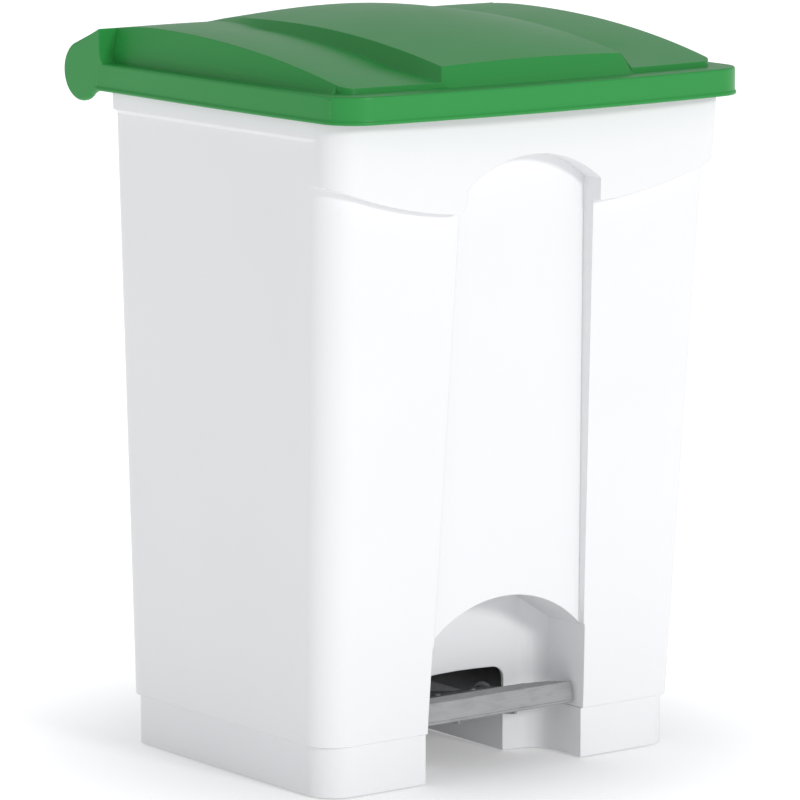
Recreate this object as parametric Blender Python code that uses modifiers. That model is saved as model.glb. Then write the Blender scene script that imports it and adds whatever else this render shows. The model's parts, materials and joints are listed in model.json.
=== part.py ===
"""Pedal bin with a moulded body, a separate plinth, a domed lid and a pedal mechanism.

Units are metres, +Z is up and the front faces -Y. The origin is on the floor, at the middle of
the bounding box. The lid turns about a rod inside its rear roll. A steel lever in the plinth
lifts a push rod that runs in a channel in the rear wall and hangs from a lug on the lid.
"""
import math

import bmesh
import bpy
from mathutils import Matrix, Vector

# Overall sizes
WIDTH = 0.410
DEPTH = 0.398
HEIGHT = 0.6055
GAP = 0.0003
WALL = 0.003
CORNER_STEPS = 5
WELD = 0.00002

# Lid
LID_TOTAL = 0.0655
RIM_HEIGHT = 0.022
RIM_RADIUS = 0.029
RIM_BEAD = 0.0012
SIDE_BOW = 0.0032
SIDE_BOW_END = 0.100
FRONT_BOW = 0.0117
ROLL_RADIUS = 0.0242
ROLL_ABOVE_LINE = 0.0136
UNDERSIDE_DROP = 0.0015
LEDGE_INSET = 0.014
CROWN_DRAFT = 0.005
CROWN_RISE = 0.0315
CROWN_STEP = 0.004
CROWN_DOME = 0.004
CROWN_SETBACK = 0.028
CROWN_CORNER = 0.012
PANEL_HALF = 0.090
PANEL_SLOPE = 0.006
PANEL_RISE = 0.0035
PANEL_DOME = 0.008
LIP_TOP = 0.0155
OPEN_ANGLE = math.radians(72)

# Body
SIDE_OVERHANG = 0.0107
FRONT_OVERHANG = 0.0385
BODY_BACK = 0.055
SIDE_TAPER = 0.0142
FRONT_TAPER = 0.029
FRONT_RADIUS = 0.027
BACK_RADIUS = 0.018
BODY_ABOVE_LINE = 0.012
RIM_BAND = 0.0034
RIM_BAND_DROP = 0.014
FLOOR_TOP = 0.080
APRON_PROUD = 0.009
APRON_SIDE = 0.002
APRON_CORNER_DROP = 0.051
APRON_CENTRE_DROP = 0.0785
ARCH_DROP = 0.036
ARCH_RADIUS = 0.104
RECESS_BOTTOM_HALF = 0.079
RECESS_NARROWING = 0.026
RECESS_TOP_DEPTH = 0.012
RECESS_LOW_DEPTH = 0.005

# Pedal niche, plinth and channels
PLINTH_HEIGHT = 0.042
PLINTH_INSET = 0.0027
FLOOR_CLEARANCE = 0.001
NICHE_PEAK = 0.145
NICHE_HALF = 0.079
NICHE_DEPTH = 0.066
NICHE_RADIUS = 0.026
SLOT_HALF = 0.044
SLOT_TOP = 0.072
GROOVE_HALF = 0.020
GROOVE_DEPTH = 0.021
CHANNEL_END = 0.026

# Mechanism
HINGE_ROD_RADIUS = 0.004
ARM_X = 0.120
ARM_WIDTH = 0.014
ARM_RADIUS = 0.010
CRANK_RADIUS = 0.0452
LUG_RADIUS = 0.0060
LUG_GAP = 0.0045
LUG_THICK = 0.004
PIN_RADIUS = 0.0025
PUSH_ROD_RADIUS = 0.003
PIVOT_BEHIND_NICHE = 0.022
PIVOT_HEIGHT = 0.0395
AXLE_RADIUS = 0.005
PAD_REST_HEIGHT = 0.010
FOOT_CLEARANCE = 0.0018
LEVER_HALF = 0.030
LEVER_REAR_HALF = 0.014
STEEL = 0.0025
TREAD_HALF = 0.076
TREAD_FLANGE = 0.016
SCREW_RADIUS = 0.002
SCREW_HEAD = 0.004
LEVER_TOP = 0.008
PAD_THICK = 0.004
FOOT_RADIUS = 0.010

# Places worked out from the sizes
LID_LINE = HEIGHT - LID_TOTAL
LEDGE = LID_LINE + RIM_HEIGHT
AXIS_Y = DEPTH / 2 - ROLL_RADIUS
AXIS_Z = LID_LINE + ROLL_ABOVE_LINE
BODY_TOP = LID_LINE + BODY_ABOVE_LINE
BACK = DEPTH / 2 - BODY_BACK
TOP_HALF = WIDTH / 2 - SIDE_OVERHANG
TOP_FRONT = -DEPTH / 2 + FRONT_OVERHANG
LOW_HALF = TOP_HALF - SIDE_TAPER
LOW_FRONT = TOP_FRONT + FRONT_TAPER
BODY_BOTTOM = PLINTH_HEIGHT + GAP
PLINTH_FRONT = LOW_FRONT + PLINTH_INSET
NICHE_BACK = LOW_FRONT + NICHE_DEPTH
PIVOT_Y = NICHE_BACK + PIVOT_BEHIND_NICHE
GROOVE_FRONT = BACK - GROOVE_DEPTH
CHANNEL_BACK = BACK - CHANNEL_END
PIN_Y = AXIS_Y - CRANK_RADIUS * math.cos(OPEN_ANGLE / 2)
PIN_Z = AXIS_Z - CRANK_RADIUS * math.sin(OPEN_ANGLE / 2)
LEVER_REACH = PIN_Y - 0.004 - PIVOT_Y
LEVER_TILT = math.asin((PIVOT_HEIGHT - PAD_REST_HEIGHT) / LEVER_REACH)
FOOT_X = LOW_HALF - 0.030
FOOT_FRONT_Y = LOW_FRONT + 0.036
FOOT_BACK_Y = BACK - 0.036
SCREW_X = LOW_HALF - 0.062

bpy.ops.object.select_all(action="DESELECT")
for old in list(bpy.data.objects):
    bpy.data.objects.remove(old, do_unlink=True)

bin_parts = bpy.data.collections.new("pedal_bin")
cutters = bpy.data.collections.new("cutters")
bpy.context.scene.collection.children.link(bin_parts)
bpy.context.scene.collection.children.link(cutters)


def material(name, colour, roughness, metallic=0.0):
    made = bpy.data.materials.new(name)
    made.use_nodes = True
    shader = made.node_tree.nodes["Principled BSDF"]
    shader.inputs["Base Color"].default_value = (*colour, 1)
    shader.inputs["Roughness"].default_value = roughness
    shader.inputs["Metallic"].default_value = metallic
    return made


white_plastic = material("white_plastic", (0.86, 0.86, 0.87), 0.38)
green_plastic = material("green_plastic", (0.06, 0.30, 0.11), 0.36)
pedal_steel = material("pedal_steel", (0.48, 0.48, 0.50), 0.35, 1.0)
zinc_steel = material("zinc_steel", (0.62, 0.62, 0.64), 0.30, 1.0)
black_rubber = material("black_rubber", (0.02, 0.02, 0.02), 0.75)
grey_plastic = material("grey_plastic", (0.30, 0.30, 0.31), 0.45)


def put(name, mesh, surface=None):
    """Link a mesh as an object: a part when it has a material, otherwise a cutter."""
    made = bpy.data.objects.new(name, mesh)
    if surface:
        mesh.materials.append(surface)
        bin_parts.objects.link(made)
    else:
        cutters.objects.link(made)
        made.hide_render = True
        made.display_type = "WIRE"
    return made


def finish(bm, name, surface=None):
    bmesh.ops.recalc_face_normals(bm, faces=bm.faces)
    mesh = bpy.data.meshes.new(name)
    bm.to_mesh(mesh)
    bm.free()
    return put(name, mesh, surface)


def loft(name, sections, surface=None):
    """Bridge closed outlines that have the same number of points, and cap both ends."""
    bm = bmesh.new()
    rings = []
    for outline in sections:
        ring = [bm.verts.new(point) for point in outline]
        rings.append([bm.edges.new((ring[i - 1], ring[i])) for i in range(len(ring))])
    for first, second in zip(rings, rings[1:]):
        bmesh.ops.bridge_loops(bm, edges=first + second)
    for ring in (rings[0], rings[-1]):
        bmesh.ops.contextual_create(bm, geom=ring)
    return finish(bm, name, surface)


def prism_y(name, outline, y0, y1, surface=None):
    """Stand an X-Z outline up between two Y planes."""
    return loft(name, [[(x, y, z) for x, z in outline] for y in (y0, y1)], surface)


def prism_x(name, outline, x0, x1, surface=None):
    """Stand a Y-Z outline up between two X planes."""
    return loft(name, [[(x, y, z) for y, z in outline] for x in (x0, x1)], surface)


def prism_z(name, outline, z0, z1, surface=None):
    """Stand an X-Y outline up between two Z planes."""
    return loft(name, [[(x, y, z) for x, y in outline] for z in (z0, z1)], surface)


def block(name, x0, x1, y0, y1, z0, z1, surface=None):
    bm = bmesh.new()
    bmesh.ops.create_cube(bm, size=1.0)
    bmesh.ops.scale(bm, vec=(x1 - x0, y1 - y0, z1 - z0), verts=bm.verts)
    bmesh.ops.translate(bm, vec=((x0 + x1) / 2, (y0 + y1) / 2, (z0 + z1) / 2), verts=bm.verts)
    return finish(bm, name, surface)


def rod(name, start, end, radius, surface=None, steps=16, end_radius=None):
    """A cylinder, or a cone, between two points."""
    start, end = Vector(start), Vector(end)
    run = end - start
    bm = bmesh.new()
    bmesh.ops.create_cone(bm, cap_ends=True, segments=steps, radius1=radius,
                          radius2=radius if end_radius is None else end_radius, depth=run.length)
    turn = Vector((0, 0, 1)).rotation_difference(run).to_matrix().to_4x4()
    bmesh.ops.transform(bm, matrix=Matrix.Translation((start + end) / 2) @ turn, verts=bm.verts)
    made = finish(bm, name, surface)
    made.data.shade_smooth()
    made.data.set_sharp_from_angle(angle=math.radians(40))
    return made


def boolean(target, cutter, operation="DIFFERENCE"):
    step = target.modifiers.new(cutter.name, "BOOLEAN")
    step.object = cutter
    step.operation = operation
    step.solver = "EXACT"
    tidy = target.modifiers.new("weld_" + cutter.name, "WELD")
    tidy.merge_threshold = WELD


def arc(cx, cy, radius, start, end, steps):
    """Points on an arc, with its angles in degrees."""
    turn = [math.radians(start + (end - start) * i / steps) for i in range(steps + 1)]
    return [(cx + radius * math.cos(a), cy + radius * math.sin(a)) for a in turn]


def plan(half, front, back, r_front, r_back, steps=CORNER_STEPS):
    """A rounded rectangle seen from above, symmetrical about X = 0."""
    return (arc(half - r_front, front + r_front, r_front, -90, 0, steps)
            + arc(half - r_back, back - r_back, r_back, 0, 90, steps)
            + arc(-half + r_back, back - r_back, r_back, 90, 180, steps)
            + arc(-half + r_front, front + r_front, r_front, 180, 270, steps))


def level(outline, z):
    return [(x, y, z) for x, y in outline]


# ---------------------------------------------------------------- body shell

def body_form(name, inset, z0, z1, surface=None):
    """The tapered bucket between two heights, inset by a wall, with its rim band."""
    band = BODY_TOP - BODY_ABOVE_LINE - RIM_BAND_DROP

    def section(z, out=0.0):
        share = (z - BODY_BOTTOM) / (LID_LINE - BODY_BOTTOM)
        half = LOW_HALF + SIDE_TAPER * share - inset + out
        front = LOW_FRONT - FRONT_TAPER * share + inset - out
        return level(plan(half, front, BACK - inset + out, FRONT_RADIUS - inset + out,
                          BACK_RADIUS - inset + out), z)

    rings = [section(z0)]
    if z1 > band:
        rings += [section(band - 0.003), section(band, RIM_BAND)]
        rings.append(section(z1, RIM_BAND))
    else:
        rings.append(section(z1))
    return loft(name, rings, surface)


def front_plane(z):
    """Y of the lower front face at a height."""
    return LOW_FRONT - FRONT_TAPER * (z - BODY_BOTTOM) / (LID_LINE - BODY_BOTTOM)


def side_plane(z):
    """Half width of the body at a height."""
    return LOW_HALF + SIDE_TAPER * (z - BODY_BOTTOM) / (LID_LINE - BODY_BOTTOM)


def apron_form(name, inset):
    """The skirt that stands proud around the upper front, cut to its drooping lower edge."""
    low = LID_LINE - APRON_CENTRE_DROP - 0.03

    def section(z):
        half = side_plane(z) + APRON_SIDE - inset
        front = front_plane(z) - APRON_PROUD + inset
        radius = FRONT_RADIUS - inset
        right = arc(half - radius, front + radius, radius, -90, 0, CORNER_STEPS)
        right += [(half - APRON_SIDE - 0.0008, front + 0.075), (half - 0.012, front + 0.075)]
        left = [(-x, y) for x, y in reversed(right)]
        return level(right + left, z)

    skirt = loft(name, [section(low), section(BODY_TOP + (0.01 if inset else 0))])
    corner = LID_LINE - APRON_CORNER_DROP + inset
    centre = LID_LINE - APRON_CENTRE_DROP + inset
    wide = TOP_HALF + 0.03
    lower = [(-wide, low - 0.01), (wide, low - 0.01), (wide, corner), (TOP_HALF, corner - 0.001),
             (0.118, centre + 0.0105), (0.074, centre + 0.001), (-0.074, centre + 0.001),
             (-0.118, centre + 0.0105), (-TOP_HALF, corner - 0.001), (-wide, corner)]
    boolean(skirt, prism_y(name + "_edge", lower, TOP_FRONT - 0.06, TOP_FRONT + 0.12))
    return skirt


def arch_outline(peak, grow, foot):
    """A round-headed outline whose sides widen downwards to a foot height."""
    radius = ARCH_RADIUS + grow
    head = peak + grow

    def half_at(z):
        return RECESS_BOTTOM_HALF - RECESS_NARROWING * z + grow

    spring = half_at(head - 0.024)
    reach = math.degrees(math.asin(spring / radius))
    top = arc(0, head - radius, radius, 90 - reach, 90 + reach, 12)
    return [(half_at(foot), foot)] + top + [(-half_at(foot), foot)]


def recess_form(name, grow):
    """The tall front recess: its rear face is steeper than the front face it is sunk in."""
    peak = LID_LINE - ARCH_DROP
    outline = arch_outline(peak, grow, -0.02)
    deep_top = front_plane(peak - 0.03) + RECESS_TOP_DEPTH + grow
    deep_low = LOW_FRONT + RECESS_LOW_DEPTH + grow
    slope = (deep_top - deep_low) / (peak - 0.03 - BODY_BOTTOM)
    near = [(x, TOP_FRONT - 0.06, z) for x, z in outline]
    far = [(x, deep_low + slope * (z - BODY_BOTTOM), z) for x, z in outline]
    return loft(name, [near, far])


def niche_plan(grow):
    """The pedal well from above: straight cheeks, round corners and a gently hollow back."""
    half = NICHE_HALF + grow
    back = NICHE_BACK + grow
    radius = NICHE_RADIUS + grow
    shoulder = back - 0.006
    right = [(half, TOP_FRONT - 0.06)]
    right += arc(half - radius, shoulder - radius, radius, 0, 70, 5)
    right += [(SLOT_HALF * 0.55, back - 0.0025)]
    return right + [(0, back)] + [(-x, y) for x, y in reversed(right)]


def niche_form(name, grow):
    well = prism_z(name, niche_plan(grow), -0.02, NICHE_PEAK + 0.03)
    head = arch_outline(NICHE_PEAK, grow, -0.03)
    wide = [(x * 1.02, z) for x, z in head]
    boolean(well, prism_y(name + "_arch", wide, TOP_FRONT - 0.08, NICHE_BACK + 0.03), "INTERSECT")
    return well


def corner_places(x, front, back):
    return {"front_left": (-x, front), "front_right": (x, front),
            "rear_left": (-x, back), "rear_right": (x, back)}


feet = corner_places(FOOT_X, FOOT_FRONT_Y, FOOT_BACK_Y)
base_screws = corner_places(SCREW_X, FOOT_FRONT_Y + 0.03, FOOT_BACK_Y - 0.02)
COVER_TOP = LID_LINE - 0.040
COVER_BOTTOM = 0.006
COVER_HALF = GROOVE_HALF + 0.012
COVER_THICK = 0.002
cover_screws = {"top_left": (-GROOVE_HALF - 0.0065, COVER_TOP - 0.02),
                "top_right": (GROOVE_HALF + 0.0065, COVER_TOP - 0.02),
                "low_left": (-GROOVE_HALF - 0.0065, 0.110),
                "low_right": (GROOVE_HALF + 0.0065, 0.110)}

body = body_form("body_shell", 0, BODY_BOTTOM, BODY_TOP, white_plastic)
boolean(body, apron_form("apron", 0), "UNION")

cavity = body_form("cavity", WALL, FLOOR_TOP, BODY_TOP + 0.01)
boolean(cavity, apron_form("apron_inside", WALL), "UNION")
boolean(cavity, recess_form("recess_wall", WALL))
boolean(cavity, niche_form("niche_wall", WALL))
boolean(cavity, block("groove_wall", -GROOVE_HALF - WALL, GROOVE_HALF + WALL,
                      GROOVE_FRONT - WALL, BACK + 0.02, 0, BODY_TOP + 0.03))
for place, (x, z) in cover_screws.items():
    boolean(cavity, rod("cover_boss_" + place, (x, BACK - 0.014, z), (x, BACK + 0.01, z), 0.005, steps=12))

under = body_form("under", WALL, BODY_BOTTOM - 0.01, FLOOR_TOP - WALL)
boolean(under, niche_form("niche_skin", WALL))
for place, (x, y) in base_screws.items():
    boolean(under, rod("base_boss_" + place, (x, y, BODY_BOTTOM - 0.02), (x, y, FLOOR_TOP), 0.006, steps=12))

boolean(body, recess_form("recess", 0))
boolean(body, niche_form("niche", 0))
boolean(body, cavity)
boolean(body, under)
boolean(body, block("groove", -GROOVE_HALF, GROOVE_HALF, GROOVE_FRONT, BACK + 0.02, 0.02, BODY_TOP + 0.02))

slot_round = 0.010
slot = ([(SLOT_HALF, 0.02)] + arc(SLOT_HALF - slot_round, SLOT_TOP - slot_round, slot_round, 0, 90, 4)
        + arc(-SLOT_HALF + slot_round, SLOT_TOP - slot_round, slot_round, 90, 180, 4) + [(-SLOT_HALF, 0.02)])
boolean(body, prism_y("lever_slot", slot, NICHE_BACK - 0.022, NICHE_BACK + 0.012))

arm_low = AXIS_Z - 0.030
for side, x in (("left", -ARM_X), ("right", ARM_X)):
    arm = [(BACK - 0.0015, arm_low), (BACK - 0.0015, AXIS_Z - 0.0075)]
    arm += arc(AXIS_Y, AXIS_Z, ARM_RADIUS, 118, -62, 10)
    boolean(body, prism_x("hinge_arm_" + side, arm, x - ARM_WIDTH / 2, x + ARM_WIDTH / 2), "UNION")
boolean(body, rod("hinge_bore", (-ARM_X - 0.02, AXIS_Y, AXIS_Z), (ARM_X + 0.02, AXIS_Y, AXIS_Z),
                  HINGE_ROD_RADIUS + GAP))
for place, (x, y) in base_screws.items():
    boolean(body, rod("base_pilot_" + place, (x, y, 0), (x, y, FLOOR_TOP - 0.010),
                      SCREW_RADIUS + GAP, steps=12))
for place, (x, z) in cover_screws.items():
    boolean(body, rod("cover_pilot_" + place, (x, BACK - 0.011, z), (x, BACK + 0.01, z),
                      SCREW_RADIUS + GAP, steps=12))

# ---------------------------------------------------------------- plinth

PLINTH_HALF = LOW_HALF - PLINTH_INSET
PLINTH_BACK = BACK - PLINTH_INSET
DECK = 0.003


def plinth_ring(name, inset, z0, z1, surface=None):
    ring = plan(PLINTH_HALF - inset, PLINTH_FRONT + inset, PLINTH_BACK - inset,
                FRONT_RADIUS - inset, BACK_RADIUS - inset)
    return prism_z(name, ring, z0, z1, surface)


plinth = plinth_ring("base_plinth", 0, FLOOR_CLEARANCE, PLINTH_HEIGHT, white_plastic)

locating_rib = plinth_ring("locating_rib", WALL - PLINTH_INSET + 0.001, PLINTH_HEIGHT - 0.002,
                           PLINTH_HEIGHT + 0.006)
boolean(locating_rib, plinth_ring("rib_inside", WALL - PLINTH_INSET + 0.003, 0, PLINTH_HEIGHT + 0.02))
boolean(locating_rib, prism_z("rib_niche", niche_plan(WALL + 0.001), 0, PLINTH_HEIGHT + 0.03))
boolean(plinth, locating_rib, "UNION")

pocket = plinth_ring("pocket", WALL, -0.01, PLINTH_HEIGHT - DECK)
boolean(pocket, prism_z("niche_cheeks", niche_plan(WALL), -0.02, PLINTH_HEIGHT))
boolean(pocket, block("channel_cheeks", -SLOT_HALF - WALL, SLOT_HALF + WALL, NICHE_BACK - 0.02,
                      CHANNEL_BACK + WALL, -0.02, PLINTH_HEIGHT))
boolean(pocket, block("groove_cheeks", -GROOVE_HALF - WALL, GROOVE_HALF + WALL, CHANNEL_BACK - 0.01,
                      BACK + 0.01, -0.02, PLINTH_HEIGHT))
for place, (x, y) in feet.items():
    boolean(pocket, rod("foot_post_" + place, (x, y, 0.0025 + GAP), (x, y, PLINTH_HEIGHT),
                        FOOT_RADIUS + 0.001))
for place, (x, y) in base_screws.items():
    boolean(pocket, rod("screw_post_" + place, (x, y, 0.020), (x, y, PLINTH_HEIGHT), 0.0065, steps=12))
boolean(plinth, pocket)
boolean(plinth, prism_z("niche_floor", niche_plan(0), -0.02, PLINTH_HEIGHT + 0.03))
boolean(plinth, block("channel", -SLOT_HALF, SLOT_HALF, NICHE_BACK - 0.022, CHANNEL_BACK,
                      -0.02, PLINTH_HEIGHT + 0.03))
boolean(plinth, block("plinth_groove", -GROOVE_HALF, GROOVE_HALF, CHANNEL_BACK - 0.01, BACK + 0.01,
                      -0.02, PLINTH_HEIGHT + 0.03))
BRIDGE_FRONT = CHANNEL_BACK - 0.075
boolean(plinth, block("bridge", -SLOT_HALF - 0.001, SLOT_HALF + 0.001, BRIDGE_FRONT, BRIDGE_FRONT + 0.040,
                      FLOOR_CLEARANCE, FLOOR_CLEARANCE + WALL), "UNION")
BUSH_RADIUS = 0.008
for side, x in (("left", -1), ("right", 1)):
    inner, outer = sorted((x * SLOT_HALF, x * (SLOT_HALF + WALL)))
    lug = [(PIVOT_Y - 0.018, PLINTH_HEIGHT - 0.006), (PIVOT_Y + 0.018, PLINTH_HEIGHT - 0.006)]
    lug += arc(PIVOT_Y, PIVOT_HEIGHT + 0.001, 0.013, 0, 180, 8)
    near, far = sorted((x * (SLOT_HALF + WALL), x * (SLOT_HALF + WALL + 0.014)))
    boolean(plinth, block("clip_room_" + side, near, far, PIVOT_Y - 0.015, PIVOT_Y + 0.015,
                          PIVOT_HEIGHT - 0.015, PLINTH_HEIGHT + 0.02))
    boolean(plinth, prism_x("axle_lug_" + side, lug, inner, outer), "UNION")
boolean(plinth, rod("axle_bore", (-SLOT_HALF - 0.02, PIVOT_Y, PIVOT_HEIGHT),
                    (SLOT_HALF + 0.02, PIVOT_Y, PIVOT_HEIGHT), BUSH_RADIUS + GAP))
for place, (x, y) in base_screws.items():
    boolean(plinth, rod("screw_way_" + place, (x, y, 0), (x, y, PLINTH_HEIGHT + 0.01),
                        SCREW_RADIUS + GAP, steps=12))
    boolean(plinth, rod("head_way_" + place, (x, y, 0), (x, y, 0.026), SCREW_HEAD + GAP, steps=12))
for place, (x, y) in feet.items():
    boolean(plinth, rod("foot_socket_" + place, (x, y, 0), (x, y, 0.010), 0.004 + GAP, steps=12))

for place, (x, y) in feet.items():
    pad = rod("foot_" + place, (x, y, 0), (x, y, 0.0025), FOOT_RADIUS - 0.0015, black_rubber,
              end_radius=FOOT_RADIUS)
    boolean(pad, rod("foot_plug_" + place, (x, y, 0.001), (x, y, 0.0095), 0.004, steps=12), "UNION")
for place, (x, y) in base_screws.items():
    screw = rod("base_screw_" + place, (x, y, 0.0225), (x, y, 0.0257), SCREW_HEAD, zinc_steel, steps=12)
    boolean(screw, rod("base_shank_" + place, (x, y, 0.024), (x, y, FLOOR_TOP - 0.012), SCREW_RADIUS,
                       steps=12), "UNION")

# ---------------------------------------------------------------- rear cover and its screws

cover = block("rear_channel_cover", -COVER_HALF, COVER_HALF, BACK + GAP, BACK + GAP + COVER_THICK,
              COVER_BOTTOM, COVER_TOP, white_plastic)
soft = cover.modifiers.new("soft_edges", "BEVEL")
soft.width = 0.0006
soft.segments = 1
for place, (x, z) in cover_screws.items():
    boolean(cover, rod("cover_hole_" + place, (x, BACK - 0.01, z), (x, BACK + 0.01, z),
                       SCREW_RADIUS + GAP, steps=12))
    face = BACK + 2 * GAP + COVER_THICK
    head = rod("cover_screw_" + place, (x, face, z), (x, face + 0.0014, z), 0.0036, zinc_steel,
               steps=12, end_radius=0.0026)
    boolean(head, rod("cover_shank_" + place, (x, face + 0.0005, z), (x, BACK - 0.010, z), SCREW_RADIUS,
                      steps=12), "UNION")

# ---------------------------------------------------------------- lid

LID_FRONT = -DEPTH / 2
LOW_CREST_Y = AXIS_Y - 0.090
FOOT_LINE = LID_FRONT + CROWN_SETBACK
CHEEK_Y = AXIS_Y - 0.0286
PANEL_FRONT = LID_FRONT + 0.036
PANEL_FOOT = LID_FRONT + 0.021
CROWN_SIDE = WIDTH / 2 - LEDGE_INSET - CROWN_DRAFT


def bowed(point):
    """The gentle outward bow of the lid's front and sides."""
    x, y, z = point
    side = SIDE_BOW * ((min(y, SIDE_BOW_END) + 0.1 * WIDTH) / (0.4 * WIDTH)) ** 2
    share = x / (WIDTH / 2)
    ahead = max(0.0, -y / (DEPTH / 2))
    return (x - side * share, y + FRONT_BOW * share ** 2 * ahead ** 2, z)


def crown_foot(x):
    """Y of the crown's front foot, which turns back round the lid's corner."""
    past = abs(x) - (CROWN_SIDE - CROWN_CORNER)
    if past <= 0:
        return FOOT_LINE
    return FOOT_LINE + CROWN_CORNER - math.sqrt(max(0.0, CROWN_CORNER ** 2 - past ** 2))


def low_crown(y, x):
    """Height of the crown beside the raised panel, which is slightly domed from side to side."""
    dome = CROWN_DOME * (1 - (x / CROWN_SIDE) ** 2)
    if y < LOW_CREST_Y:
        share = (LOW_CREST_Y - y) / (LOW_CREST_Y - FOOT_LINE)
        return LEDGE + CROWN_STEP + (CROWN_RISE - CROWN_STEP + dome) * (1 - share * share)
    share = (y - LOW_CREST_Y) / (CHEEK_Y - LOW_CREST_Y)
    return LEDGE + CROWN_RISE - 0.005 * share ** 2 + dome * (1 - share ** 2)


def panel_height(y, x):
    """Height of the raised panel, which is domed from side to side."""
    crest = LOW_CREST_Y - 0.045
    top = LEDGE + CROWN_RISE + PANEL_RISE
    reach = crest - PANEL_FRONT
    dome = PANEL_DOME * (1 - (x / PANEL_HALF) ** 2)
    if y < crest:
        share = (crest - y) / reach
        edge = top - (CROWN_RISE + PANEL_RISE - LIP_TOP) * share ** 2
        return edge + dome * (0.25 + 0.75 * (1 - share ** 2))
    share = min(1.0, (y - crest) / (CHEEK_Y - crest))
    ease = share * share * (3 - 2 * share)
    return top * (1 - ease) + low_crown(y, x) * ease + dome * (1 - ease)


def lid_section(kind, x, inset):
    """A closed Y-Z outline of the lid: roll, neck, crown and front, or the low ledge beside it."""
    radius = ROLL_RADIUS - inset
    tail = arc(AXIS_Y, AXIS_Z, radius, 74, -134, 16)
    low_foot = crown_foot(min(x + inset, CROWN_SIDE))
    ahead = PANEL_FRONT if kind == "panel" else low_foot
    run = [CHEEK_Y + inset - (CHEEK_Y - ahead) * i / 14 for i in range(15)]
    outline = list(tail)
    bottom = LID_LINE + 0.005 + inset
    if kind == "panel":
        x = min(x, PANEL_HALF)
    if kind == "ledge":
        outline += [(CHEEK_Y - 0.004, bottom), (PANEL_FOOT + inset, bottom)]
        flat = LEDGE - 0.003 - inset
        outline += [(PANEL_FOOT + inset, flat)]
        heights = []
        for y in reversed(run):
            back = CHEEK_Y + inset - y
            if back < 0.001:
                heights.append((y, low_crown(CHEEK_Y, CROWN_SIDE) - inset))
            else:
                heights.append((y, flat))
        corner = 0.013
        heights[-2] = (CHEEK_Y + inset - corner * 1.35, flat + 0.0004)
        outline += heights[:-1]
        outline += [(CHEEK_Y + inset - corner * 0.75, flat + corner * 0.12),
                    (CHEEK_Y + inset - corner * 0.30, flat + corner * 0.42),
                    (CHEEK_Y + inset - 0.0005, flat + corner)]
        outline += [heights[-1]]
    else:
        foot = PANEL_FOOT + inset if kind == "panel" else low_foot - 0.0005 + inset
        outline += [(CHEEK_Y - 0.004, bottom), (foot, bottom), (foot, LEDGE - 0.003 - inset)]
        shape = []
        for y in reversed(run):
            if kind == "panel":
                z = panel_height(y, x)
            else:
                z = low_crown(max(y, FOOT_LINE), x)
            shape.append((y, z - inset))
        back_y = shape[-1][0]
        prior = shape[-2][0]
        outline += shape[:-1]
        for share in (0.25, 0.5, 0.75):
            y = prior + (back_y - prior) * share
            z = panel_height(y, x) if kind == "panel" else low_crown(y, x)
            outline.append((y, z - inset))
        outline.append(shape[-1])
    return outline


def lid_loft(name, inset):
    """The lid above its rim: stations from side to side, then bowed."""
    end = WIDTH / 2 - RIM_BEAD - inset - GAP
    crown = WIDTH / 2 - LEDGE_INSET - inset
    side = CROWN_SIDE - inset * 0.5
    stations = [("ledge", end), ("ledge", crown), ("low", side), ("low", side - 0.3 * CROWN_CORNER),
                ("low", side - 0.6 * CROWN_CORNER), ("low", side - CROWN_CORNER),
                ("low", PANEL_HALF + PANEL_SLOPE - inset * 0.4), ("panel", PANEL_HALF - inset * 0.4),
                ("panel", 0.060), ("panel", 0.030), ("panel", 0.0)]
    both = [(kind, x) for kind, x in stations] + [(kind, -x) for kind, x in reversed(stations[:-1])]
    sections = []
    for kind, x in both:
        sections.append([bowed((x, y, z)) for y, z in lid_section(kind, abs(x), inset)])
    return loft(name, sections)


def rim_plan(inset, back):
    """The rim from above, with points along each side for the bow."""
    half = WIDTH / 2 - RIM_BEAD - inset
    front = LID_FRONT + RIM_BEAD + inset
    radius = RIM_RADIUS - RIM_BEAD - inset
    right = [(half * s, front) for s in (0.0, 0.2, 0.4, 0.6, 0.75)]
    right += arc(half - radius, front + radius, radius, -90, 0, 6)
    right += [(half, front + radius + (back - front - radius) * s) for s in (0.2, 0.4, 0.6, 0.8, 1.0)]
    return right + [(-x, y) for x, y in reversed(right[1:])]


def rim_form(name, inset, levels, back, surface=None):
    sections = []
    for z, out in levels:
        ring = rim_plan(inset - out, back)
        sections.append([bowed((x, y, z)) for x, y in ring])
    return loft(name, sections, surface)


RIM_BACK = AXIS_Y - 0.0246
rim_levels = [(LID_LINE, RIM_BEAD), (LID_LINE + 0.002, RIM_BEAD), (LID_LINE + 0.004, 0),
              (LEDGE - 0.0015, 0), (LEDGE, -0.0015)]
lid = rim_form("lid_shell", 0, rim_levels, RIM_BACK, green_plastic)
boolean(lid, lid_loft("lid_top", 0), "UNION")
for side, x in (("left", -1), ("right", 1)):
    inner, outer = sorted((x * (LUG_GAP + GAP), x * (LUG_GAP + GAP + LUG_THICK)))
    lug_outline = arc(PIN_Y, PIN_Z, LUG_RADIUS, 125, 325, 10)
    lug_outline += [(AXIS_Y - 0.004, AXIS_Z - ROLL_RADIUS + 0.0035),
                    (AXIS_Y - ROLL_RADIUS + 0.0012, AXIS_Z - 0.002)]
    boolean(lid, prism_x("crank_lug_" + side, lug_outline, inner, outer), "UNION")
boolean(lid, rim_form("rim_inner", WALL, [(LID_LINE - 0.02, 0), (LEDGE - WALL, 0)], RIM_BACK + 0.001))
boolean(lid, lid_loft("lid_under", WALL))

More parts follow.
